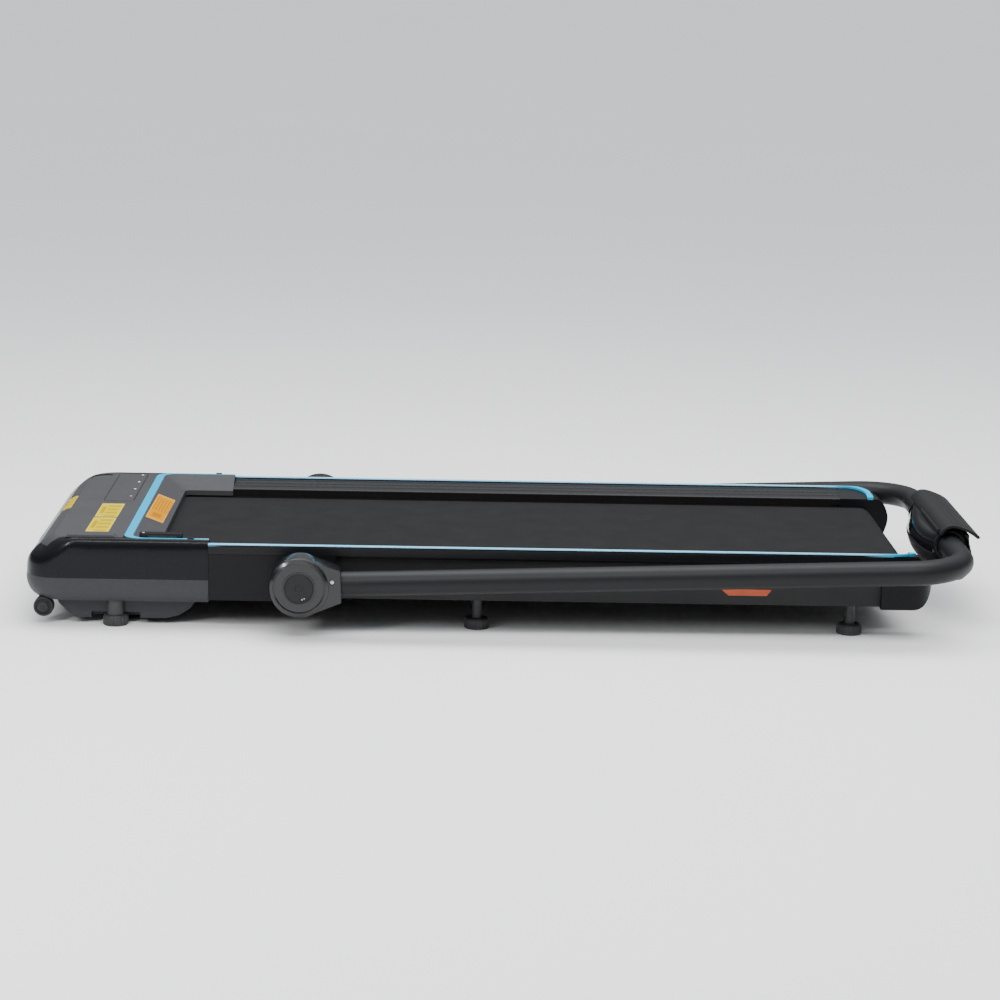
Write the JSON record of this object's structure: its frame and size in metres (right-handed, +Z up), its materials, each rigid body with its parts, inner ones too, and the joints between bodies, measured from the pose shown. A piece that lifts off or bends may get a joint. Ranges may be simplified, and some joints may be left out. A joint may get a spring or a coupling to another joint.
{
  "type": "treadmill",
  "caption": "Low walking treadmill with a powered belt deck, levelling feet and a U-shaped handrail that folds flat round the deck.",
  "frame": {"origin": "on the floor, below the middle of the outline with the handrail folded", "axes": "+X along the belt from the motor end to the back, +Y to the walker's right, +Z up"},
  "size_m": [1.4897, 0.686, 0.1556],
  "materials": {
    "frame_steel": "satin black powder coat",
    "deck_wood": "waxed board",
    "cushion_rubber": "matte",
    "belt_rubber": "matte, fine woven texture",
    "bare_steel": "turned",
    "motor_paint": "satin black",
    "circuit": "circuit board with aluminium and film parts",
    "drive_rubber": "ribbed",
    "rail_black": "satin black, ribbed",
    "light_blue": "light blue line",
    "shell_gloss": "glossy black",
    "shell_satin": "satin dark grey",
    "panel_grey": "matte dark grey, fine texture",
    "dark_window": "smoked window",
    "tube_black": "satin black powder coat",
    "hub_black": "satin black",
    "knob_grey": "satin dark grey",
    "foot_black": "moulded, knurled",
    "wheel_black": "moulded",
    "reflector_orange": "orange lens",
    "console_gloss": "glossy black",
    "console_grey": "matte dark grey, fine texture",
    "button_grey": "soft-touch"
  },
  "bodies": {
    "deck": {"frame_rail_left": "frame_steel", "frame_rail_right": "frame_steel", "cross_members": "frame_steel", "deck_cushions": "cushion_rubber", "deck_board": "deck_wood", "running_belt": "belt_rubber", "roller_bearings": "bare_steel", "roller_axles": "bare_steel", "belt_tension_bolts": "bare_steel", "drive_motor": "motor_paint", "drive_belt": "drive_rubber", "motor_mount": "frame_steel", "controller_board": "circuit", "foot_rail_left": "rail_black", "foot_rail_right": "rail_black", "end_cap_left": "shell_satin", "end_cap_right": "shell_satin", "side_accents": "light_blue", "side_cover_left": "shell_satin", "side_cover_right": "shell_satin", "pivot_bolts": "bare_steel", "side_reflectors": "reflector_orange", "housing_upper": "shell_gloss", "top_panel": "panel_grey", "display_window": "dark_window", "cover_trim": "light_blue", "front_bezel": "panel_grey", "panel_grip": "panel_grey", "side_bridge": "shell_gloss", "housing_lower": "shell_satin", "belly_pan": "shell_satin", "cover_screws": "bare_steel", "power_inlet": "knob_grey", "foot_sockets": "foot_black", "wheel_axles": "bare_steel"},
    "handrail": {"handrail_tube": "tube_black", "hub_shell_left": "hub_black", "hub_shell_right": "hub_black", "console_body": "console_grey", "console_panel": "console_gloss", "console_display": "dark_window", "tablet_rest": "console_grey"},
    "front_roller": {"front_roller": "bare_steel"},
    "rear_roller": {"rear_roller": "bare_steel"},
    "motor_rotor": {"motor_rotor": "bare_steel"},
    "transport_wheel_left": {"transport_wheel_left": "wheel_black"},
    "transport_wheel_right": {"transport_wheel_right": "wheel_black"},
    "power_rocker": {"power_rocker": "hub_black"},
    "breaker_button": {"breaker_button": "hub_black"},
    "lock_knob_left": {"lock_knob_left": "knob_grey"},
    "lock_knob_right": {"lock_knob_right": "knob_grey"},
    "start_button": {"start_button": "button_grey"},
    "slower_button": {"slower_button": "button_grey"},
    "faster_button": {"faster_button": "button_grey"},
    "foot_front_left": {"foot_front_left": "foot_black"},
    "foot_front_right": {"foot_front_right": "foot_black"},
    "foot_middle_left": {"foot_middle_left": "foot_black"},
    "foot_middle_right": {"foot_middle_right": "foot_black"},
    "foot_rear_left": {"foot_rear_left": "foot_black"},
    "foot_rear_right": {"foot_rear_right": "foot_black"}
  },
  "joints": [
    {"name": "handrail_fold", "type": "hinge", "parent": "deck", "child": "handrail", "pos_m": [-0.318, 0, 0.083], "axis": [0, -1, 0], "range_deg": [0, 96]},
    {"name": "lock_knob_left_turn", "type": "hinge", "parent": "handrail", "child": "lock_knob_left", "pos_m": [-0.318, -0.339, 0.083], "axis": [0, -1, 0], "range_deg": [0, 90]},
    {"name": "lock_knob_right_turn", "type": "hinge", "parent": "handrail", "child": "lock_knob_right", "pos_m": [-0.318, 0.339, 0.083], "axis": [0, 1, 0], "range_deg": [0, 90]},
    {"name": "front_roller_spin", "type": "hinge", "parent": "deck", "child": "front_roller", "pos_m": [-0.5715, 0, 0.0859], "axis": [0, 1, 0], "continuous": true},
    {"name": "rear_roller_spin", "type": "hinge", "parent": "deck", "child": "rear_roller", "pos_m": [0.6035, 0, 0.0859], "axis": [0, 1, 0], "continuous": true},
    {"name": "motor_spin", "type": "hinge", "parent": "deck", "child": "motor_rotor", "pos_m": [-0.6465, 0.1, 0.066], "axis": [0, 1, 0], "continuous": true},
    {"name": "transport_wheel_left_spin", "type": "hinge", "parent": "deck", "child": "transport_wheel_left", "pos_m": [-0.7145, -0.25, 0.0285], "axis": [0, 1, 0], "continuous": true},
    {"name": "transport_wheel_right_spin", "type": "hinge", "parent": "deck", "child": "transport_wheel_right", "pos_m": [-0.7145, 0.25, 0.0285], "axis": [0, 1, 0], "continuous": true},
    {"name": "foot_front_left_level", "type": "slide", "parent": "deck", "child": "foot_front_left", "axis": [0, 0, -1], "range_m": [0, 0.01]},
    {"name": "foot_front_right_level", "type": "slide", "parent": "deck", "child": "foot_front_right", "axis": [0, 0, -1], "range_m": [0, 0.01]},
    {"name": "foot_middle_left_level", "type": "slide", "parent": "deck", "child": "foot_middle_left", "axis": [0, 0, -1], "range_m": [-0.01, 0.01]},
    {"name": "foot_middle_right_level", "type": "slide", "parent": "deck", "child": "foot_middle_right", "axis": [0, 0, -1], "range_m": [-0.01, 0.01]},
    {"name": "foot_rear_left_level", "type": "slide", "parent": "deck", "child": "foot_rear_left", "axis": [0, 0, -1], "range_m": [-0.01, 0.01]},
    {"name": "foot_rear_right_level", "type": "slide", "parent": "deck", "child": "foot_rear_right", "axis": [0, 0, -1], "range_m": [-0.01, 0.01]},
    {"name": "power_rocker_tilt", "type": "hinge", "parent": "deck", "child": "power_rocker", "pos_m": [-0.721, -0.1707, 0.1], "axis": [0, -1, 0], "range_deg": [0, 16]},
    {"name": "breaker_button_press", "type": "slide", "parent": "deck", "child": "breaker_button", "axis": [1, 0, 0], "range_m": [0, 0.003], "stiffness_N_per_m": 300, "springref_m": -0.001},
    {"name": "start_button_press", "type": "slide", "parent": "handrail", "child": "start_button", "axis": [0, 0, 1], "range_m": [0, 0.0012], "stiffness_N_per_m": 400, "springref_m": -0.0005},
    {"name": "slower_button_press", "type": "slide", "parent": "handrail", "child": "slower_button", "axis": [0, 0, 1], "range_m": [0, 0.0012], "stiffness_N_per_m": 400, "springref_m": -0.0005},
    {"name": "faster_button_press", "type": "slide", "parent": "handrail", "child": "faster_button", "axis": [0, 0, 1], "range_m": [0, 0.0012], "stiffness_N_per_m": 400, "springref_m": -0.0005}
  ],
  "couplings": [
    {"joint": "rear_roller_spin", "follows": "front_roller_spin", "ratio": 1},
    {"joint": "motor_spin", "follows": "front_roller_spin", "ratio": 2.5}
  ]
}
